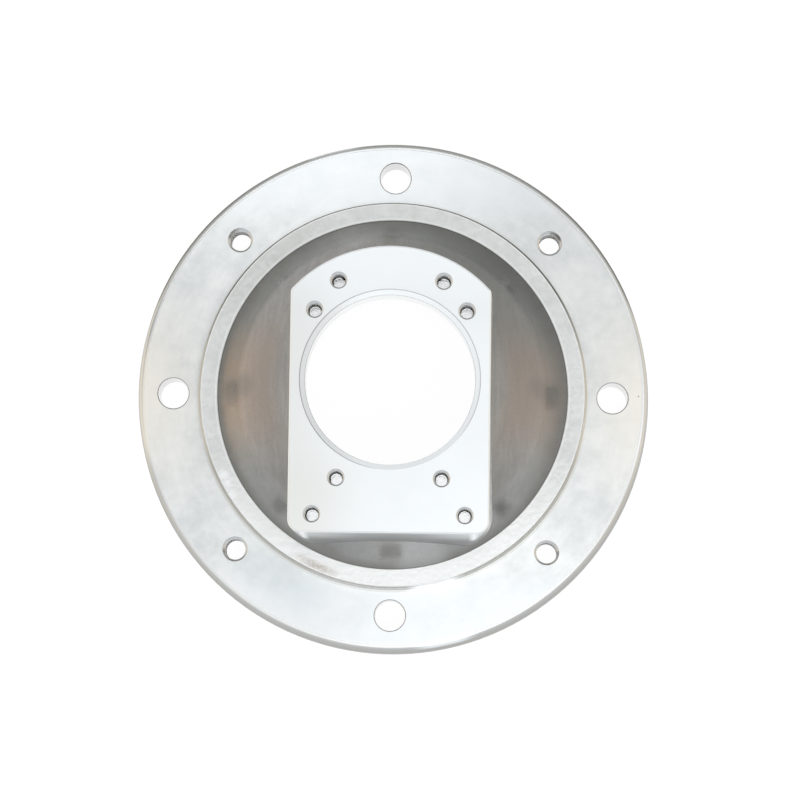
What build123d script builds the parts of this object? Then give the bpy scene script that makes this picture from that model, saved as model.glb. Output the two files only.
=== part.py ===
from build123d import *
from math import atan, cos, radians, sin, sqrt, tan
import os

# Pump bell housing, a one-piece aluminium casting with machined faces.
# It bolts a gear pump to a flange-mounted electric motor and covers their coupling.
# Millimetres. The axis of both shafts is +Z, the origin lies on it at the motor face,
# and the pump pad is at the top. The flat foot of the pad points along -Y.

# Motor flange
flange_diameter = 252.0
flange_thickness = 20.0
rim_draft = 4.0
rim_rounding = 3.0
rim_chamfer = 1.0
bolt_circle_margin = 18.5
clearance_hole_diameter = 15.0
clearance_hole_count = 4
tapped_hole_diameter = 12.0
tapped_hole_count = 4
tapped_hole_turn = 45.0
flange_hole_chamfer = 0.4

# Shoulder left standing when the bolting face was turned
shoulder_margin = 13.8
shoulder_width = 8.4
shoulder_height = 8.0
shoulder_root_radius = 1.5

# Register for the motor spigot
register_margin = 17.5
register_depth = 5.0
register_chamfer = 0.8

# Bell between the shoulder and the pad
housing_height = 100.0
bell_foot_slope = 22.0
bell_bend_height = 65.0
wall = 9.0
roof_chamfer = 3.0

# Pump pad, a block with a straight foot, two straight sides and an arc over the bore
pad_side_wall = 7.0
pad_arc_radius = 63.0
pad_foot_distance = 72.0
pad_corner_radius = 6.0
root_corner_radius = 16.0
pad_shoulder_radius = 2.5
pad_thickness = 20.0
pad_side_height = 5.0
pad_draft = 2.0
pad_edge_chamfer = 0.6
pad_root_fillet = 3.0
core_corner_radius = 8.0

# Pump pilot bore
pilot_diameter = 80.0
pilot_chamfer = 2.5

# Tapped blind holes for two pump bolt patterns
pump_thread_diameter = 8.0
pump_thread_depth = 13.0
drill_point_angle = 118.0
wide_pattern_x = 71.5
wide_pattern_y = 96.0
wide_pattern_rise = 32.5
narrow_pattern_x = 49.4
narrow_pattern_y = 92.8

# Heights, radii and slopes that follow from the sizes above
shoulder_top = flange_thickness + shoulder_height
pad_underside = housing_height - pad_thickness
pad_edge_height = housing_height - pad_edge_chamfer
bell_top = housing_height - pad_side_height
pad_width = pilot_diameter + 2 * pad_side_wall
thread_radius = pump_thread_diameter / 2
drill_point_height = thread_radius / tan(radians(drill_point_angle / 2))
wide_pattern_centre = wide_pattern_rise - wide_pattern_y / 2

# Rings of the flange, each one margin inside the one before it
flange_radius = flange_diameter / 2
bolt_circle_radius = flange_radius - bolt_circle_margin
shoulder_radius = bolt_circle_radius - shoulder_margin
register_radius = bolt_circle_radius - register_margin
bell_foot_radius = shoulder_radius - shoulder_width

# Cast rim, which narrows from the motor face to its rounding by its draft
rim_taper = tan(radians(rim_draft))
rim_top = flange_thickness - rim_rounding
rim_top_radius = flange_radius - rim_top * rim_taper

# A quarter round is turned with two flats, and its middle lies this share of the radius from both faces
round_share = 1 - cos(radians(45))
rim_middle = round_share * rim_rounding
shoulder_root_middle = round_share * shoulder_root_radius

# The bell's two cones, which meet at the bend, and the upper one ends at the pad's side
bell_bend_radius = bell_foot_radius - (bell_bend_height - shoulder_top) * tan(radians(bell_foot_slope))
bell_top_radius = pad_width / 2
foot_cone_slope = radians(bell_foot_slope)
top_cone_slope = atan((bell_bend_radius - bell_top_radius) / (bell_top - bell_bend_height))
bend_slope = (foot_cone_slope + top_cone_slope) / 2
bend_half_turn = (top_cone_slope - foot_cone_slope) / 2


def bell_section(inset, mouth_height, roof_height):
    """Half section of the bell, its two cones moved inwards by the inset, with a straight mouth below."""
    foot_radius = bell_foot_radius - inset / cos(foot_cone_slope)
    bend_inset = inset / cos(bend_half_turn)
    bend_radius = bell_bend_radius - bend_inset * cos(bend_slope)
    bend_height = bell_bend_height - bend_inset * sin(bend_slope)
    roof_radius = bend_radius - (roof_height - bend_height) * tan(top_cone_slope)
    with BuildSketch(Plane.XZ) as section:
        with BuildLine():
            Polyline(
                (0, mouth_height),
                (foot_radius, mouth_height),
                (foot_radius, shoulder_top),
                (bend_radius, bend_height),
                (roof_radius, roof_height),
                (0, roof_height),
                (0, mouth_height),
            )
        make_face()
    return section.sketch


def block_outline(height, inset, foot_corner_radius, arc_corner_radius):
    """Outline of the pad's block at one height, grown by its draft and moved inwards by the inset."""
    growth = (housing_height - height) * tan(radians(pad_draft)) - inset
    half_width = pad_width / 2 + growth
    arc_radius = pad_arc_radius + growth
    foot = -pad_foot_distance - growth
    arc_end = sqrt(arc_radius**2 - half_width**2)
    with BuildSketch(Plane.XY.offset(height)) as outline:
        with BuildLine():
            ThreePointArc((half_width, arc_end), (0, arc_radius), (-half_width, arc_end))
            Polyline((-half_width, arc_end), (-half_width, foot), (half_width, foot), (half_width, arc_end))
        make_face()
        fillet(outline.vertices().group_by(Axis.Y)[0], foot_corner_radius)
        fillet(outline.vertices().group_by(Axis.Y)[-1], arc_corner_radius)
    return outline.sketch


# Core of the bell, one wall inside it
with BuildPart() as bell_core:
    revolve(bell_section(wall, 0, pad_underside), axis=Axis.Z)
    chamfer(bell_core.edges().group_by(Axis.Z)[-1], roof_chamfer)

# Core of the pad's block, one wall inside it
with BuildPart() as block_core:
    core_mouth = block_outline(flange_thickness, wall, core_corner_radius, core_corner_radius)
    extrude(core_mouth, amount=pad_underside - flange_thickness, taper=pad_draft)
    chamfer(block_core.edges().group_by(Axis.Z)[-1], roof_chamfer)

# Tapped blind hole, as the solid that the drill and the tap remove, threaded down to the drill's point
with BuildPart() as tapped_hole:
    with BuildSketch(Plane.XZ):
        with BuildLine():
            Polyline(
                (0, 0),
                (thread_radius, 0),
                (thread_radius, -pump_thread_depth),
                (0, -pump_thread_depth - drill_point_height),
                (0, 0),
            )
        make_face()
    revolve(axis=Axis.Z)

with BuildPart() as bell_housing:
    # Bell, whose lower cone is the steeper one
    revolve(bell_section(0, flange_thickness, bell_top), axis=Axis.Z)

    # Block under the pad, broken at the pad's edge and widening downwards by its draft
    face_corner_radius = pad_corner_radius - pad_edge_chamfer
    face_shoulder_radius = pad_shoulder_radius - pad_edge_chamfer
    pad_face = block_outline(housing_height, pad_edge_chamfer, face_corner_radius, face_shoulder_radius)
    pad_edge = block_outline(pad_edge_height, 0, pad_corner_radius, pad_shoulder_radius)
    block_root = block_outline(shoulder_top, 0, root_corner_radius, pad_shoulder_radius)
    loft([pad_face, pad_edge, block_root], ruled=True)

    # Cast fillet all round the block where it leaves the bell
    bell_cones = bell_housing.faces().filter_by(GeomType.CONE)
    fillet(bell_cones.edges().filter_by(GeomType.BSPLINE), pad_root_fillet)

    # Motor flange, with the shoulder that was left when its bolting face was turned
    with BuildSketch(Plane.XZ):
        with BuildLine():
            Polyline(
                (0, 0),
                (flange_radius - rim_chamfer, 0),
                (flange_radius - rim_chamfer * rim_taper, rim_chamfer),
                (rim_top_radius, rim_top),
                (rim_top_radius - rim_middle, flange_thickness - rim_middle),
                (rim_top_radius - rim_rounding, flange_thickness),
                (shoulder_radius + shoulder_root_radius, flange_thickness),
                (shoulder_radius + shoulder_root_middle, flange_thickness + shoulder_root_middle),
                (shoulder_radius, flange_thickness + shoulder_root_radius),
                (shoulder_radius, shoulder_top),
                (0, shoulder_top),
                (0, 0),
            )
        make_face()
    revolve(axis=Axis.Z)

    # Hollow for the coupling
    add(bell_core.part, mode=Mode.SUBTRACT)
    add(block_core.part, mode=Mode.SUBTRACT)

    # Register for the motor spigot
    with BuildSketch(Plane.XY):
        Circle(register_radius)
    extrude(amount=register_depth, mode=Mode.SUBTRACT)
    register_rims = bell_housing.edges(Select.LAST).filter_by(GeomType.CIRCLE)
    chamfer(register_rims.group_by(Axis.Z)[0], register_chamfer)

    # Pilot bore for the pump
    with Locations((0, 0, housing_height)):
        Hole(pilot_diameter / 2)
    pilot_rims = bell_housing.edges(Select.LAST).filter_by(GeomType.CIRCLE)
    chamfer(pilot_rims.group_by(Axis.Z)[-1], pilot_chamfer)

    # Clearance holes and tapped holes through the motor flange
    with Locations((0, 0, flange_thickness)):
        with PolarLocations(bolt_circle_radius, clearance_hole_count):
            Hole(clearance_hole_diameter / 2)
        clearance_rims = bell_housing.edges(Select.LAST).filter_by(GeomType.CIRCLE)
        with PolarLocations(bolt_circle_radius, tapped_hole_count, start_angle=tapped_hole_turn):
            Hole(tapped_hole_diameter / 2)
    chamfer(clearance_rims.group_by(Axis.Z)[-1], flange_hole_chamfer)

    # Tapped holes of the two pump patterns
    with Locations((0, wide_pattern_centre, housing_height)):
        with GridLocations(wide_pattern_x, wide_pattern_y, 2, 2):
            add(tapped_hole.part, mode=Mode.SUBTRACT)
    with Locations((0, 0, housing_height)):
        with GridLocations(narrow_pattern_x, narrow_pattern_y, 2, 2):
            add(tapped_hole.part, mode=Mode.SUBTRACT)

os.makedirs("parts", exist_ok=True)
bell_housing.part.label = "bell_housing"
export_step(bell_housing.part, "parts/bell_housing.step")
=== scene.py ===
import math
import bpy
import numpy as np
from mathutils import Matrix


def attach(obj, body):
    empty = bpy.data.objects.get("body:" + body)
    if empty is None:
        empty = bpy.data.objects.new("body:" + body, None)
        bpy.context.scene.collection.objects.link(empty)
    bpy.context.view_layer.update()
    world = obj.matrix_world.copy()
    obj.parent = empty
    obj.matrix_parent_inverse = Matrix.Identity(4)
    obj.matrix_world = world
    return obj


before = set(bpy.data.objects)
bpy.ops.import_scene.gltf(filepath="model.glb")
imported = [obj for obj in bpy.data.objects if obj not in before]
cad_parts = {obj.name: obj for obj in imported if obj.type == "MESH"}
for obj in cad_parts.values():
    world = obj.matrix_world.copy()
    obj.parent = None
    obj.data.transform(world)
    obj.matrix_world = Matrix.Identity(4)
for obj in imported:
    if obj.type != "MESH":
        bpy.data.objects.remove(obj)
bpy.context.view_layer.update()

scene = bpy.context.scene
scene.view_settings.view_transform = "Standard"

# Camera, square over the pump side of the housing and a little off its axis, as the photograph was taken.
# The place, turn and lens come from the centres of the holes.
camera = bpy.data.objects.new("camera", bpy.data.cameras.new("camera"))
scene.collection.objects.link(camera)
camera.data.sensor_width = 36.0
camera.data.lens = 163.6
camera.data.clip_end = 20.0
camera.location = (0.03168, -0.17273, 1.79109)
camera.rotation_euler = (math.radians(5.5158), math.radians(0.8367), math.radians(0.7518))
scene.camera = camera

# Studio round the housing: a white table that keeps a faint shadow, a tent of white cloth that is brightest
# overhead, and two long soft boxes beyond the top and the bottom of the picture.
def place(tree, kind, inputs=(), **settings):
    """Adds a node, sets its settings, and gives its input sockets a value or a link from another socket."""
    made = tree.nodes.new(kind)
    for name, value in settings.items():
        setattr(made, name, value)
    for name, value in dict(inputs).items():
        if isinstance(value, bpy.types.NodeSocket):
            tree.links.new(value, made.inputs[name])
        else:
            made.inputs[name].default_value = value
    return made


def calc(tree, operation, first, second=0.0, third=0.0):
    """One step of arithmetic on sockets or numbers."""
    return place(tree, "ShaderNodeMath", {0: first, 1: second, 2: third}, operation=operation).outputs[0]


def fade(tree, value, low, high):
    """Smooth step from 0 at the low value to 1 at the high one."""
    limits = {"Value": value, "From Min": low, "From Max": high}
    return place(tree, "ShaderNodeMapRange", limits, interpolation_type="SMOOTHSTEP").outputs[0]


def tint(tree, mask, below, above):
    """Colour that goes from one to the other, each a colour or a socket, where the mask is 1."""
    mixed = place(tree, "ShaderNodeMix", {"Factor": mask}, data_type="RGBA")
    for socket, shade in ((mixed.inputs[6], below), (mixed.inputs[7], above)):
        if isinstance(shade, bpy.types.NodeSocket):
            tree.links.new(shade, socket)
        else:
            socket.default_value = (*shade, 1.0)
    return mixed.outputs[2]


world = bpy.data.worlds.new("white_tent")
scene.world = world
world.use_nodes = True
tent = world.node_tree
tent.nodes.clear()
near_cloth, far_cloth, side_cloth = (0.90, 0.94, 0.97), (0.42, 0.43, 0.42), (1.10, 1.02, 0.88)
bright_roof, dark_roof = (1.80, 1.83, 1.85), (0.29, 0.30, 0.30)
direction = place(tent, "ShaderNodeTexCoord").outputs["Generated"]
towards = place(tent, "ShaderNodeSeparateXYZ", {"Vector": direction}).outputs
walls = tint(tent, fade(tent, towards["Y"], -0.6, 0.6), near_cloth, far_cloth)
sideways = calc(tent, "MULTIPLY", towards["X"], towards["X"])
walls = tint(tent, fade(tent, sideways, 0.3, 0.9), walls, side_cloth)
roof_slope = calc(tent, "MULTIPLY_ADD", towards["X"], -0.4, towards["Y"])
roof_shade = place(tent, "ShaderNodeMapRange", {"Value": roof_slope, "From Min": -0.15, "From Max": 0.34})
roof = tint(tent, roof_shade.outputs[0], bright_roof, dark_roof)
cloth_colour = tint(tent, fade(tent, towards["Z"], 0.72, 0.92), walls, roof)
tent_light = place(tent, "ShaderNodeBackground", {"Color": cloth_colour, "Strength": 0.92})
place(tent, "ShaderNodeOutputWorld", {"Surface": tent_light.outputs["Background"]})

# The table has its own even white and takes little of the light where it is seen, so its shadow stays faint.
table_half, table_white = 3.0, 0.965
lit_where_seen, lit_elsewhere = 0.1, 0.8
table = bpy.data.meshes.new("table")
table.from_pydata(
    [(-table_half, -table_half, 0.0), (table_half, -table_half, 0.0),
     (table_half, table_half, 0.0), (-table_half, table_half, 0.0)],
    [], [(0, 1, 2, 3)],
)
table_top = bpy.data.objects.new("table_top", table)
scene.collection.objects.link(table_top)
white_table = bpy.data.materials.new("white_table")
white_table.use_nodes = True
cloth = white_table.node_tree
cloth.nodes.clear()
rays = place(cloth, "ShaderNodeLightPath").outputs
seen = calc(cloth, "MAXIMUM", rays["Is Camera Ray"], rays["Is Glossy Ray"])
seen = calc(cloth, "MAXIMUM", seen, rays["Is Transmission Ray"])
own_light = calc(cloth, "MULTIPLY", seen, table_white)
lit_share = calc(cloth, "MULTIPLY_ADD", seen, lit_where_seen - lit_elsewhere, lit_elsewhere)
matt = place(cloth, "ShaderNodeBsdfDiffuse", {"Color": lit_share})
glow = place(cloth, "ShaderNodeEmission", {"Color": (1.0, 1.0, 1.0, 1.0), "Strength": own_light})
table_shade = place(cloth, "ShaderNodeAddShader", {0: matt.outputs[0], 1: glow.outputs[0]})
place(cloth, "ShaderNodeOutputMaterial", {"Surface": table_shade.outputs[0]})
table.materials.append(white_table)

for lamp_name, degrees_round, distance, lamp_height, watts in (
    ("soft_box_top", 102.0, 0.42, 0.85, 0.4),
    ("soft_box_bottom", 291.0, 0.36, 0.90, 0.33),
):
    lamp = bpy.data.lights.new(lamp_name, "AREA")
    lamp.shape = "RECTANGLE"
    lamp.size = 0.45
    lamp.size_y = 0.25
    lamp.energy = watts
    lamp.color = (0.96, 0.98, 1.0)
    soft_box = bpy.data.objects.new(lamp_name, lamp)
    lamp_turn = math.radians(degrees_round)
    soft_box.location = (distance * math.cos(lamp_turn), distance * math.sin(lamp_turn), lamp_height)
    soft_box.rotation_euler = (-math.atan2(distance, lamp_height), 0.0, lamp_turn - math.radians(90.0))
    scene.collection.objects.link(soft_box)

# Housing, one sand casting in aluminium. The bell, the pad's block and the rim are as cast, the bolting face
# and the motor side turned, the pad milled, and the bore and holes cut. One solid has one material, which
# knows each surface by its height and its distances from the axis and the holes, in metres.
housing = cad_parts["bell_housing"]
flange_height, shoulder_height, bend_height, pad_height = 0.020, 0.028, 0.065, 0.100
bell_foot_radius, bell_bend_radius = 0.0853, 0.07035
foot_slope, upper_slope = 0.404, 0.7785
bolt_circle_radius = 0.1075
diagonal = bolt_circle_radius * math.cos(math.radians(45.0))
wide_pattern, narrow_pattern = ((0.03575, 0.0325), (0.03575, -0.0635)), (0.0247, 0.0464)
clearance_radius, flange_thread_radius, pump_thread_radius = 0.0075, 0.006, 0.004

# Node group for a band: the least of (value - from) / edge, (to - value) / edge and 1, but at least 0.
band = bpy.data.node_groups.new("band", "ShaderNodeTree")
for socket_name in ("Value", "From", "To", "Edge"):
    band.interface.new_socket(socket_name, in_out="INPUT", socket_type="NodeSocketFloat")
band.interface.new_socket("Mask", in_out="OUTPUT", socket_type="NodeSocketFloat")
given = place(band, "NodeGroupInput").outputs
over = calc(band, "DIVIDE", calc(band, "SUBTRACT", given["Value"], given["From"]), given["Edge"])
under = calc(band, "DIVIDE", calc(band, "SUBTRACT", given["To"], given["Value"]), given["Edge"])
between = calc(band, "MINIMUM", calc(band, "MINIMUM", over, under), 1.0)
place(band, "NodeGroupOutput", {"Mask": calc(band, "MAXIMUM", between, 0.0)})

metal = bpy.data.materials.new("cast_and_machined_aluminium")
metal.use_nodes = True
skin = metal.node_tree
skin.nodes.clear()


def within(value, low, high, edge=0.0001):
    """Mask that is 1 where the value lies between two limits and fades out over the edge."""
    found = place(skin, "ShaderNodeGroup", node_tree=band)
    skin.links.new(value, found.inputs["Value"])
    found.inputs["From"].default_value = low
    found.inputs["To"].default_value = high
    found.inputs["Edge"].default_value = edge
    return found.outputs["Mask"]


def beyond(value, limit, edge=0.0001):
    """Mask that is 1 where the value, less than a metre, lies past the limit."""
    return within(value, limit, 1.0, edge)


def short_of(value, limit, edge=0.0001):
    """Mask that is 1 where the value lies below the limit."""
    return within(value, -1.0, limit, edge)


def grade(value, start, end):
    """Mask that rises smoothly from 0 at the start to 1 at the end, whichever of the two is the higher."""
    return fade(skin, value, start, end)


def both_of(first, second):
    """Mask where both masks are 1, or one mask times a share."""
    return calc(skin, "MULTIPLY", first, second)


def either(*masks):
    """Mask where one of the masks is 1."""
    joined = masks[0]
    for mask in masks[1:]:
        joined = calc(skin, "MAXIMUM", joined, mask)
    return joined


def coat(below, mask, above, strength=1.0):
    """Colour with another laid over it where the mask is 1, in full or at a share of its strength."""
    return tint(skin, mask if strength == 1.0 else both_of(mask, strength), below, above)


def noise(vector, scale, detail=3.0, roughness=0.55, contrast=1.0):
    """Noise over a vector, its scale in spots for each metre, spread about its middle by the contrast."""
    made = place(skin, "ShaderNodeTexNoise", {
        "Vector": vector, "Scale": scale, "Detail": detail, "Roughness": roughness})
    return grade(made.outputs[0], 0.5 - 0.3 / contrast, 0.5 + 0.3 / contrast)


def near(vector, *centres):
    """Distance from the nearest of some points, seen along the axis."""
    nearest = None
    for centre in centres:
        apart = place(skin, "ShaderNodeVectorMath", {0: vector, 1: (*centre, 0.0)}, operation="DISTANCE")
        apart = apart.outputs["Value"]
        nearest = apart if nearest is None else calc(skin, "MINIMUM", nearest, apart)
    return nearest


# Place on the housing, its distance from the axis and its bearing. The ring is the bearing shortened and the
# distance from the axis, so that a pattern on it stretches along the turn of the lathe.
ring_length = 0.02
spot = place(skin, "ShaderNodeTexCoord").outputs["Object"]
parts = place(skin, "ShaderNodeSeparateXYZ", {"Vector": spot}).outputs
x, y, z = parts["X"], parts["Y"], parts["Z"]
plan = place(skin, "ShaderNodeCombineXYZ", {"X": x, "Y": y}).outputs[0]
radius = place(skin, "ShaderNodeVectorMath", {0: plan}, operation="LENGTH").outputs["Value"]
bearing = place(skin, "ShaderNodeVectorMath", {0: plan}, operation="NORMALIZE").outputs["Vector"]
bearing_parts = place(skin, "ShaderNodeSeparateXYZ", {"Vector": bearing}).outputs
ring_x = calc(skin, "MULTIPLY", bearing_parts["X"], ring_length)
ring_y = calc(skin, "MULTIPLY", bearing_parts["Y"], ring_length)
ring = place(skin, "ShaderNodeCombineXYZ", {"X": ring_x, "Y": ring_y, "Z": radius}).outputs[0]

# Distances from the two middle planes. On a folded plan one point stands for two or for four.
out_x = calc(skin, "ABSOLUTE", x)
out_y = calc(skin, "ABSOLUTE", y)
plan_halved = place(skin, "ShaderNodeCombineXYZ", {"X": out_x, "Y": y}).outputs[0]
plan_quartered = place(skin, "ShaderNodeCombineXYZ", {"X": out_x, "Y": out_y}).outputs[0]
upper = grade(y, 0.030, 0.055)
lower = grade(y, -0.020, -0.050)
from_clearance_hole = near(plan_quartered, (bolt_circle_radius, 0.0), (0.0, bolt_circle_radius))
from_tapped_hole = near(plan_quartered, (diagonal, diagonal))
from_pump_hole = calc(skin, "MINIMUM", near(plan_halved, *wide_pattern), near(plan_quartered, narrow_pattern))

# Bell, two cones with the skin that the sand left. It is darker above its bend and faintly combed. It has
# painted shade in the corner of its foot, on its right and below, a painted warm reflection on both sides,
# painted light beside, above and below the pad, and painted dark reflections of the flange's holes at the
# left, right and top.
cloud = noise(spot, 26.0, 4.0, 0.6)
mottle = noise(spot, 120.0, 5.0, 0.65, 1.4)
sand_grain = noise(spot, 650.0, 4.0, 0.7, 1.4)
foot_cone = calc(skin, "MULTIPLY_ADD", z, -foot_slope, bell_foot_radius + shoulder_height * foot_slope)
upper_cone = calc(skin, "MULTIPLY_ADD", z, -upper_slope, bell_bend_radius + bend_height * upper_slope)
from_bell = calc(skin, "SUBTRACT", radius, calc(skin, "MINIMUM", foot_cone, upper_cone))
bell = both_of(within(z, 0.0281, 0.0949), within(from_bell, -0.0006, 0.0006, 0.0003))
above_flange = grade(z, 0.052, 0.068)
combed = place(skin, "ShaderNodeVectorMath", {0: spot, 1: (1.0, 0.1, 0.4)}, operation="MULTIPLY")
combed = noise(combed.outputs["Vector"], 420.0, 3.0, 0.6)
bell_colour = tint(skin, cloud, (0.33, 0.325, 0.315), (0.43, 0.425, 0.41))
bell_colour = coat(bell_colour, above_flange, (0.25, 0.245, 0.235), 0.8)
bell_colour = coat(bell_colour, mottle, (0.29, 0.285, 0.275), 0.35)
bell_colour = coat(bell_colour, combed, (0.55, 0.52, 0.49), 0.3)
# Painted warm reflection on both sides of the bell, browner at the left and darker higher up.
painted_warm_reflection = both_of(within(z, 0.027, 0.090, 0.012), grade(out_y, 0.042, 0.008))
warm_reflection_colour = tint(skin, grade(x, 0.0, -0.05), (0.40, 0.31, 0.25), (0.62, 0.46, 0.34))
warm_reflection_colour = tint(skin, grade(z, 0.042, 0.080), warm_reflection_colour, (0.33, 0.27, 0.23))
bell_colour = coat(bell_colour, painted_warm_reflection, warm_reflection_colour, 0.8)
# Painted shade in the corner of the bell's foot, deeper on the lower side.
painted_foot_shade = both_of(grade(z, 0.040, 0.028), calc(skin, "MULTIPLY_ADD", lower, 0.25, 0.6))
bell_colour = coat(bell_colour, painted_foot_shade, (0.18, 0.175, 0.16))
# Painted shade low on the right of the bell and along its lower side.
painted_shade_right = both_of(grade(x, 0.03, 0.07), grade(z, 0.068, 0.040))
painted_shade_below = both_of(grade(y, -0.02, -0.06), grade(out_x, -0.02, 0.035))
bell_colour = coat(bell_colour, either(painted_shade_right, painted_shade_below), (0.17, 0.17, 0.165), 0.45)
# Painted light on the bell beside the pad's upper corners, above the pad's top left and below its foot.
painted_light_beside_pad = both_of(upper, grade(out_x, 0.042, 0.062))
bell_colour = coat(bell_colour, painted_light_beside_pad, (0.56, 0.53, 0.49), 0.25)
painted_light_above_pad = grade(near(plan, (-0.0205, 0.0790), (-0.0190, 0.0740)), 0.011, 0.004)
bell_colour = coat(bell_colour, painted_light_above_pad, (0.62, 0.61, 0.60), 0.25)
painted_light_below_pad = grade(near(plan, (0.015, -0.0800)), 0.017, 0.006)
bell_colour = coat(bell_colour, painted_light_below_pad, (0.62, 0.62, 0.61), 0.35)
# Painted dark reflections of the flange's clearance holes on the bell, at the left, right and top.
painted_side_hole_reflections = grade(near(plan_quartered, (0.0712, 0.0), (0.0765, 0.0)), 0.0085, 0.002)
painted_top_hole_reflection = grade(near(plan, (-0.001, 0.0780), (-0.001, 0.0720)), 0.0060, 0.001)
painted_hole_reflections = either(both_of(painted_side_hole_reflections, 0.42), both_of(painted_top_hole_reflection, 0.62))
bell_colour = coat(bell_colour, painted_hole_reflections, (0.20, 0.19, 0.17))
bell_colour = coat(bell_colour, sand_grain, (0.19, 0.18, 0.17), 0.22)

# Walls of the pad's block and of the hollow, as cast. The front wall, over the straight foot, has painted
# shade low down, painted light towards its top and painted highlights along its top edge and at both corners,
# the side walls are paler, and painted shade lies over the cast skin at the top right.
block_wall = calc(skin, "SUBTRACT", within(z, 0.0281, 0.0992), bell)
wall_colour = tint(skin, cloud, (0.40, 0.395, 0.385), (0.52, 0.515, 0.50))
cast_colour = coat(bell_colour, block_wall, wall_colour)
# Painted shade low on the front wall, painted light towards its top and corners, and painted highlights along
# its top edge and down both corners.
to_corner = grade(out_x, 0.010, 0.038)
front_painted_light = tint(skin, to_corner, (0.25, 0.255, 0.255), (0.46, 0.47, 0.47))
front_painted_shade = tint(skin, to_corner, (0.17, 0.17, 0.17), (0.13, 0.13, 0.13))
front_painted_shading = tint(skin, grade(z, 0.060, 0.090), front_painted_shade, front_painted_light)
front_painted_shading = coat(front_painted_shading, grade(z, 0.090, 0.098), (0.62, 0.63, 0.63), 0.5)
front_corner_highlights = both_of(within(out_x, 0.0375, 0.0430, 0.0030), grade(z, 0.055, 0.075))
front_painted_shading = coat(front_painted_shading, front_corner_highlights, (0.93, 0.94, 0.94))
front_wall = both_of(block_wall, grade(y, -0.0675, -0.0705))
cast_colour = coat(cast_colour, front_wall, front_painted_shading)
side_wall = both_of(both_of(block_wall, grade(out_x, 0.0464, 0.0472)), grade(from_bell, -0.002, 0.0))
cast_colour = coat(cast_colour, side_wall, (0.70, 0.71, 0.71))
# Painted shade over the cast skin at the top right.
shaded = both_of(grade(y, -0.02, 0.07), grade(x, -0.035, 0.045))
cast_colour = coat(cast_colour, shaded, (0.12, 0.125, 0.115), 0.7)

# Shoulder, the ring left standing when the bolting face was turned. It has painted light towards the bottom
# and painted shade at the upper left, painted highlights along its two edges and a painted shade line in the
# crease where the bell starts; pores show at the lower left, and it is rubbed at the left.
shoulder_top = both_of(within(z, shoulder_height - 0.0003, shoulder_height + 0.0003, 0.00005),
                       within(radius, 0.0852, 0.0940))
flecks = both_of(noise(spot, 520.0, 2.0, 0.5, 3.0), noise(spot, 130.0, 2.0, 0.5, 1.5))
shoulder_colour = tint(skin, mottle, (0.62, 0.62, 0.61), (0.71, 0.71, 0.70))
shoulder_colour = coat(shoulder_colour, cloud, (0.76, 0.76, 0.75), 0.4)
# Painted light towards the bottom of the shoulder and painted shade at its upper left.
shoulder_colour = coat(shoulder_colour, grade(y, -0.02, -0.08), (0.93, 0.935, 0.93), 0.8)
shoulder_colour = coat(shoulder_colour, both_of(upper, grade(x, 0.0, -0.06)), (0.50, 0.50, 0.48), 0.3)
shoulder_colour = coat(shoulder_colour, flecks, (0.90, 0.90, 0.90), 0.25)
from_rubbing = near(plan, (-0.0815, -0.0410), (-0.0795, -0.0450), (-0.0772, -0.0492))
ragged = calc(skin, "MULTIPLY_ADD", noise(spot, 300.0, 4.0, 0.65), -0.004, from_rubbing)
rubbed = short_of(ragged, 0.0016, 0.0032)
shoulder_colour = coat(shoulder_colour, rubbed, (0.93, 0.94, 0.95), 0.6)
pored, pored_radius = math.radians(247.0), 0.0914
pored_centre = (ring_length * math.cos(pored), ring_length * math.sin(pored), pored_radius)
from_pores = place(skin, "ShaderNodeVectorMath", {0: ring, 1: pored_centre}, operation="DISTANCE")
pores = both_of(grade(from_pores.outputs["Value"], 0.0034, 0.0004), noise(spot, 2400.0, 2.0, 0.8, 2.0))
shoulder_colour = coat(shoulder_colour, both_of(shoulder_top, pores), (0.32, 0.24, 0.16), 0.85)
# Painted highlights along the shoulder's two rounded edges.
edge_highlights = either(within(radius, 0.0929, 0.0945, 0.0003), within(radius, 0.0858, 0.0868, 0.0003))
shoulder_colour = coat(shoulder_colour, both_of(shoulder_top, edge_highlights), (0.86, 0.86, 0.85), 0.5)
# Painted shade in the crease where the bell rises from the shoulder.
bell_crease_shade = within(radius, bell_foot_radius - 0.0013, bell_foot_radius + 0.0004, 0.0003)
shoulder_colour = coat(shoulder_colour, both_of(shoulder_top, bell_crease_shade), (0.26, 0.255, 0.24))
colour = coat(cast_colour, shoulder_top, shoulder_colour)

# Bolting face of the flange and the motor side, turned in a lathe, with clouds and faint rings. The bolting
# face is a cooler grey above and below, cream at both sides, bluish at the lower left and dented at the
# right.
flange_face = both_of(within(z, flange_height - 0.0010, flange_height + 0.0004),
                      within(radius, 0.0948, 0.1228, 0.0006))
turned = either(flange_face, within(z, -0.001, 0.0052))
flange_colour = tint(skin, noise(spot, 60.0, 4.0, 0.65, 1.2), (0.72, 0.74, 0.74), (0.93, 0.935, 0.925))
flange_colour = coat(flange_colour, mottle, (0.90, 0.905, 0.90), 0.4)
flange_colour = coat(flange_colour, flecks, (0.97, 0.97, 0.97), 0.2)
flange_colour = coat(flange_colour, noise(ring, 240.0, 4.0, 0.65, 1.3), (0.66, 0.68, 0.68), 0.3)
flange_colour = coat(flange_colour, grade(out_y, 0.078, 0.100), (0.865, 0.885, 0.90), 0.7)
bluish = grade(near(plan, (-0.0420, -0.0950), (-0.0520, -0.0900), (-0.0630, -0.0830)), 0.017, 0.003)
flange_colour = coat(flange_colour, bluish, (0.60, 0.67, 0.70), 0.3)
worn_right = grade(near(plan, (0.0930, 0.0530)), 0.022, 0.005)
flange_colour = coat(flange_colour, worn_right, (0.98, 0.99, 0.96), 0.35)
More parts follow.
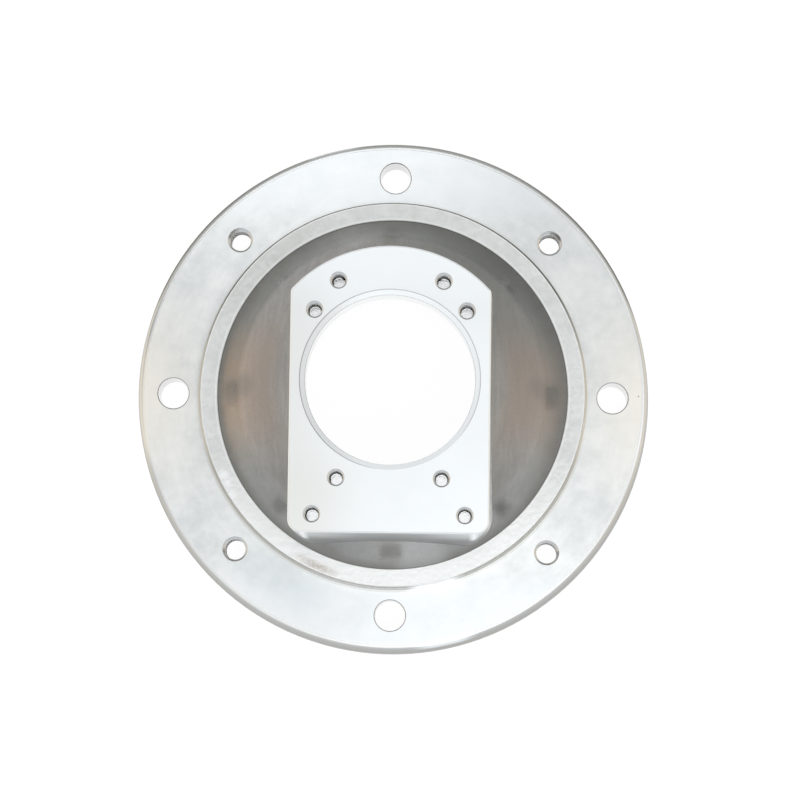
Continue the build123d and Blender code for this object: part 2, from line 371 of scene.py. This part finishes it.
cream_sides = both_of(grade(out_x, 0.085, 0.125), grade(out_y, 0.065, 0.0))
flange_colour = coat(flange_colour, cream_sides, (0.98, 0.93, 0.85), 0.8)
dent = short_of(near(plan, (0.1202, 0.0011)), 0.0005, 0.0005)
flange_colour = coat(flange_colour, dent, (0.10, 0.09, 0.08))
colour = coat(colour, turned, flange_colour)

# Rim of the flange, cast with its draft and rounded over into the bolting face. Painted shade darkens it
# outwards from the face, more at the bottom and towards the ends of the top, and painted highlights lighten
# it at the bottom right, at the top left and, in cream, at the left.
rim = both_of(within(z, 0.0009, flange_height + 0.0002), beyond(radius, 0.1216, 0.0002))
rim_round = both_of(within(z, 0.0168, flange_height + 0.00001), beyond(radius, 0.1218, 0.0002))
# Painted light and shade across the rim's rounding: lighter above, darker below, darkening outwards.
rim_inside = tint(skin, upper, (0.76, 0.75, 0.73), (0.97, 0.97, 0.96))
rim_inside = coat(rim_inside, lower, (0.60, 0.595, 0.58))
rim_inside = tint(skin, grade(radius, 0.1216, 0.1230), (0.85, 0.855, 0.85), rim_inside)
rim_above = tint(skin, grade(out_x, 0.040, 0.095), (0.39, 0.385, 0.37), (0.15, 0.145, 0.135))
rim_outside = tint(skin, upper, (0.41, 0.40, 0.38), rim_above)
rim_outside = coat(rim_outside, lower, (0.42, 0.415, 0.40))
rim_outside = coat(rim_outside, both_of(lower, grade(radius, 0.1246, 0.1251)), (0.31, 0.305, 0.295))
outwards = grade(calc(skin, "MULTIPLY_ADD", upper, 0.0006, radius), 0.1237, 0.1251)
rim_colour = tint(skin, outwards, rim_inside, rim_outside)
# Painted highlights on the rim at the bottom right and the top left, and a cream one at the left.
rim_highlights = either(grade(near(plan, (0.027, -0.121)), 0.018, 0.006),
                  grade(near(plan, (-0.0315, 0.120)), 0.015, 0.008))
rim_colour = coat(rim_colour, both_of(rim_highlights, grade(radius, 0.1249, 0.1241)), (0.95, 0.96, 0.96))
rim_cream_highlight = grade(near(plan, (-0.1225, -0.003)), 0.036, 0.018)
rim_colour = coat(rim_colour, both_of(rim_cream_highlight, grade(radius, 0.1240, 0.1232)), (0.98, 0.93, 0.84))
colour = coat(colour, rim, rim_colour)

# Step between the bolting face and the shoulder, where the lathe tool stopped. Painted shade lies in its root
# as a grey line, dark above and paler at both sides, and painted light clears it at the bottom right.
step_root = both_of(within(z, 0.0198, 0.0274), within(radius, 0.0930, 0.0966, 0.0003))
# Painted light at the bottom right of the step, where its root is lit.
painted_light_bottom_right = grade(near(plan, (0.0215, -0.0915)), 0.016, 0.007)
away_from_painted_light = calc(skin, "SUBTRACT", 1.0, painted_light_bottom_right)
pale_sides = grade(near(plan_halved, (0.0945, -0.002)), 0.036, 0.018)
root_colour = tint(skin, painted_light_bottom_right, (0.82, 0.81, 0.78), (0.98, 0.98, 0.98))
colour = coat(colour, both_of(step_root, grade(radius, 0.0958, 0.0952)), root_colour)
# Painted shade in the root of the step, as a soft band and a grey line.
root_shade = both_of(away_from_painted_light, both_of(step_root, within(radius, 0.0950, 0.0966, 0.0008)))
root_shade = both_of(root_shade, grade(y, 0.045, 0.0))
root_shade = both_of(root_shade, calc(skin, "MULTIPLY_ADD", pale_sides, -0.7, 1.0))
colour = coat(colour, root_shade, (0.57, 0.565, 0.545), 0.65)
line_colour = tint(skin, grade(y, -0.082, -0.092), (0.50, 0.49, 0.46), (0.57, 0.565, 0.55))
line_colour = coat(line_colour, upper, (0.24, 0.235, 0.22))
line_colour = coat(line_colour, pale_sides, (0.68, 0.65, 0.59))
root_shade_line = both_of(away_from_painted_light, both_of(step_root, within(radius, 0.0938, 0.0955, 0.0004)))
colour = coat(colour, root_shade_line, line_colour)

# Pad, milled flat and broken at its edge, with the bored pilot and its chamfer. The pad is darker at the left
# and at its lower left corner, the chamfer has painted shade at the left, and a thin line of painted shade
# follows each edge of the chamfer, darker at the left and gone at the lower right.
pad_face = beyond(z, pad_height - 0.0001, 0.00003)
pad_edge = both_of(within(z, pad_height - 0.0007, pad_height - 0.0001, 0.00003), beyond(radius, 0.0435))
bore = both_of(within(z, 0.0795, pad_height + 0.0001), within(radius, 0.03, 0.0426))
bore_chamfer = both_of(within(z, 0.0975, pad_height + 0.0001), within(radius, 0.0399, 0.0426))
# Painted shade on the chamfer and on its edge lines at the left.
chamfer_shade_left = grade(x, -0.010, -0.035)
pad_colour = tint(skin, cloud, (0.86, 0.88, 0.885), (0.91, 0.93, 0.94))
pad_colour = coat(pad_colour, grade(x, -0.02, -0.045), (0.80, 0.80, 0.775), 0.6)
pad_colour = coat(pad_colour, upper, (0.95, 0.97, 0.99), 0.6)
pad_corner = both_of(grade(x, -0.005, -0.035), grade(y, -0.020, -0.055))
pad_colour = coat(pad_colour, pad_corner, (0.76, 0.75, 0.72), 0.5)
colour = coat(colour, either(pad_face, bore), pad_colour)
colour = coat(colour, pad_edge, (0.93, 0.94, 0.95))
colour = coat(colour, both_of(bore_chamfer, chamfer_shade_left), (0.68, 0.685, 0.68), 0.7)
# Painted shade lines along both edges of the chamfer, missing at the lower right.
mouth_line = both_of(beyond(z, 0.0990), within(radius, 0.0421, 0.0427))
throat_line = both_of(within(z, 0.0960, 0.0978), within(radius, 0.0395, 0.0402))
chamfer_edge_shade = both_of(either(mouth_line, throat_line), grade(near(plan, (0.016, -0.040)), 0.018, 0.032))
chamfer_edge_shade_colour = tint(skin, chamfer_shade_left, (0.60, 0.60, 0.60), (0.42, 0.42, 0.42))
colour = coat(colour, chamfer_edge_shade, chamfer_edge_shade_colour)

# Holes, drilled, with a grey line round each mouth. The walls of the flange's holes are grey, and the pad's
# blind holes are bright down to their floors, which are lit as if they faced straight up.
flange_hole_wall = both_of(within(z, 0.0008, flange_height - 0.0002), either(
    short_of(from_clearance_hole, clearance_radius + 0.0002),
    short_of(from_tapped_hole, flange_thread_radius + 0.0002)))
clearance_line = within(from_clearance_hole, clearance_radius - 0.0005, clearance_radius + 0.0005, 0.0002)
tapped_line = within(from_tapped_hole, flange_thread_radius - 0.0005, flange_thread_radius + 0.0003, 0.0002)
pump_line = within(from_pump_hole, pump_thread_radius - 0.0004, pump_thread_radius + 0.0002)
hole_lines = either(both_of(flange_face, clearance_line), both_of(flange_face, tapped_line),
                    both_of(pad_face, pump_line))
pump_hole = both_of(within(z, 0.0835, pad_height - 0.0002),
                    short_of(from_pump_hole, pump_thread_radius + 0.0001))
pump_hole_floor = both_of(within(z, 0.0835, 0.0873), short_of(from_pump_hole, 0.0029, 0.0003))
colour = coat(colour, flange_hole_wall, (0.56, 0.56, 0.56))
colour = coat(colour, hole_lines, (0.60, 0.60, 0.60))
colour = coat(colour, pump_hole, (0.96, 0.96, 0.96))

# Polish: the cast skin is the roughest, then the bell, the machined faces and the walls of the holes.
machined = either(turned, rim_round, pad_face, pad_edge, bore, flange_hole_wall)
bell_change = calc(skin, "MULTIPLY_ADD", above_flange, 0.12, -0.16)
roughness = calc(skin, "MULTIPLY_ADD", bell, bell_change, 0.42)
for surface, change in ((machined, -0.12), (either(pump_hole, bore), -0.1), (flange_hole_wall, -0.2),
                        (pump_hole_floor, -0.12)):
    roughness = calc(skin, "MULTIPLY_ADD", surface, change, roughness)

# Facing of the surfaces. The bell's bend and the rim's rounding have few facets, so there the normal points
# along the bearing and leans up by a smooth slope, which on the rim is sqrt(1 - turn squared) / turn. The
# floors of the blind holes and the bore's chamfer are lit as if they faced straight up.
bent = grade(z, 0.048, 0.082)
bell_lean = calc(skin, "MULTIPLY_ADD", bent, upper_slope - foot_slope, foot_slope)
rim_turn = place(skin, "ShaderNodeMapRange", {
    "Value": radius, "From Min": 0.1223, "From Max": 0.1253, "To Min": 0.03}).outputs[0]
rim_rise = calc(skin, "SQRT", calc(skin, "SUBTRACT", 1.0, calc(skin, "MULTIPLY", rim_turn, rim_turn)))
rim_lean = both_of(calc(skin, "DIVIDE", rim_rise, rim_turn), rim_round)
lean = calc(skin, "MULTIPLY_ADD", bell_lean, bell, rim_lean)
domed = place(skin, "ShaderNodeCombineXYZ", {"X": bearing_parts["X"], "Y": bearing_parts["Y"], "Z": lean})
domed = place(skin, "ShaderNodeVectorTransform", {"Vector": domed.outputs[0]}, vector_type="NORMAL",
              convert_from="OBJECT", convert_to="WORLD")
modelled = place(skin, "ShaderNodeNewGeometry").outputs["Normal"]
facing = place(skin, "ShaderNodeMix", {0: either(bell, rim_round), 4: modelled, 5: domed.outputs[0]},
               data_type="VECTOR")
faces_up = either(pump_hole_floor, both_of(bore_chamfer, 0.96))
facing = place(skin, "ShaderNodeMix", {0: faces_up, 4: facing.outputs[1], 5: (0.0, 0.0, 1.0)},
               data_type="VECTOR")
facing = place(skin, "ShaderNodeVectorMath", {0: facing.outputs[1]}, operation="NORMALIZE").outputs["Vector"]

# Relief: the sand's grain on the cast skin, weaker on the bell and the shoulder, and the lathe's fine rings.
smooth = either(machined, both_of(bell, 0.75), both_of(pump_hole, 0.8))
sand_share = calc(skin, "MULTIPLY_ADD", shoulder_top, -0.6, calc(skin, "SUBTRACT", 1.0, smooth))
sand = both_of(noise(spot, 420.0, 3.0, 0.6), sand_share)
lathe_rings = both_of(noise(ring, 1500.0, 3.0, 0.6), both_of(turned, 0.05))
relief_height = calc(skin, "ADD", sand, lathe_rings)
relief = place(skin, "ShaderNodeBump", {
    "Strength": 0.4, "Distance": 0.0003, "Height": relief_height, "Normal": facing}).outputs[0]

around = place(skin, "ShaderNodeTangent", direction_type="RADIAL", axis="Z").outputs[0]
cast_shader = place(skin, "ShaderNodeBsdfPrincipled", {
    "Base Color": colour, "Metallic": 1.0, "Roughness": roughness, "Normal": relief})
turned_shader = place(skin, "ShaderNodeBsdfPrincipled", {
    "Base Color": colour, "Metallic": 1.0, "Roughness": 0.34, "Anisotropic": 0.8,
    "Anisotropic Rotation": 0.25, "Tangent": around, "Normal": relief})
finish = place(skin, "ShaderNodeMixShader",
               {0: flange_face, 1: cast_shader.outputs[0], 2: turned_shader.outputs[0]})
place(skin, "ShaderNodeOutputMaterial", {"Surface": finish.outputs[0]})
housing.data.materials.clear()
housing.data.materials.append(metal)

# Threads cut into the housing's own aluminium, M12 right through the flange and M8 in the pad's blind holes.
# Each is the ridge that the tap leaves between two turns, standing in the plain wall of its hole.
def thread_ridges(name, centres, top, depth, major_radius, pitch):
    """Helical ridges: a trapezoid profile, wide at the wall and narrow inside, carried along a right-hand
    helix whose height falls by one pitch a turn. It grows out of the wall over its first half turn and goes
    back into it over its last. The ridge is 0.54 of the pitch high."""
    into_wall, steps_a_turn = 0.00004, 40
    half_foot, half_crest = 0.44, 0.09
    wall, crest = major_radius + into_wall, major_radius - 0.54 * pitch
    turns = depth / pitch - 1.0
    steps = int(turns * steps_a_turn) + 1
    angle = np.linspace(0.0, turns * 2.0 * np.pi, steps)
    growth = np.clip(np.minimum(angle, angle[-1] - angle) / np.pi, 0.02, 1.0)[:, None]
    profile_radius = wall - (wall - np.array([wall, crest, crest, wall])[None, :]) * growth
    profile_height = np.array([-half_foot, -half_crest, half_crest, half_foot])[None, :] * pitch * growth
    ridge_x = profile_radius * np.cos(angle)[:, None]
    ridge_y = profile_radius * np.sin(angle)[:, None]
    ridge_z = top - pitch * (0.5 + angle[:, None] / (2.0 * np.pi)) + profile_height
    ridge = np.stack([ridge_x, ridge_y, ridge_z], axis=-1).reshape(-1, 3)
    corners = profile_height.shape[1]
    row = np.arange(steps - 1)[:, None] * corners
    side = np.arange(corners)[None, :]
    beside = (side + 1) % corners
    quads = np.stack([row + side, row + beside, row + corners + beside, row + corners + side], axis=-1)
    ends = np.array([[3, 2, 1, 0], [0, 1, 2, 3]]) + np.array([[0], [corners * (steps - 1)]])
    quads = np.concatenate([quads.reshape(-1, corners), ends])
    offsets = np.array([(*centre, 0.0) for centre in centres])
    points = (ridge[None] + offsets[:, None, :]).reshape(-1, 3)
    first_points = np.arange(len(centres))[:, None, None] * len(ridge)
    faces = (quads[None] + first_points).reshape(-1, corners)
    mesh = bpy.data.meshes.new(name)
    mesh.from_pydata(points.tolist(), [], faces.tolist())
    mesh.polygons.foreach_set("use_smooth", np.zeros(len(faces), dtype=bool))
    made = bpy.data.objects.new(name, mesh)
    scene.collection.objects.link(made)
    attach(made, "root")
    return made


flange_pitch, pump_pitch, pump_thread_depth = 0.00175, 0.00125, 0.013
narrow_x, narrow_y = narrow_pattern
four_ways = [(-1, -1), (-1, 1), (1, -1), (1, 1)]
flange_thread = thread_ridges(
    "flange_thread", [(to_right * diagonal, to_top * diagonal) for to_right, to_top in four_ways],
    flange_height, flange_height, flange_thread_radius, flange_pitch)
pump_thread = thread_ridges(
    "pump_thread",
    [(to_right * hole_x, hole_y) for to_right in (-1, 1) for hole_x, hole_y in wide_pattern]
    + [(to_right * narrow_x, to_top * narrow_y) for to_right, to_top in four_ways],
    pad_height, pump_thread_depth, pump_thread_radius, pump_pitch)

tapped = bpy.data.materials.new("tapped_aluminium")
tapped.use_nodes = True
cut = tapped.node_tree
thread_shader = cut.nodes["Principled BSDF"]
thread_spot = place(cut, "ShaderNodeTexCoord").outputs["Object"]
torn = place(cut, "ShaderNodeTexNoise", {"Vector": thread_spot, "Scale": 900.0, "Detail": 3.0}).outputs[0]
shine = place(cut, "ShaderNodeValToRGB", {"Fac": torn})
shine.color_ramp.elements[0].color = (0.46, 0.455, 0.45, 1.0)
shine.color_ramp.elements[1].color = (0.80, 0.80, 0.80, 1.0)
cut.links.new(shine.outputs[0], thread_shader.inputs["Base Color"])
thread_shader.inputs["Metallic"].default_value = 1.0
thread_shader.inputs["Roughness"].default_value = 0.22
for thread in (flange_thread, pump_thread):
    thread.data.materials.append(tapped)
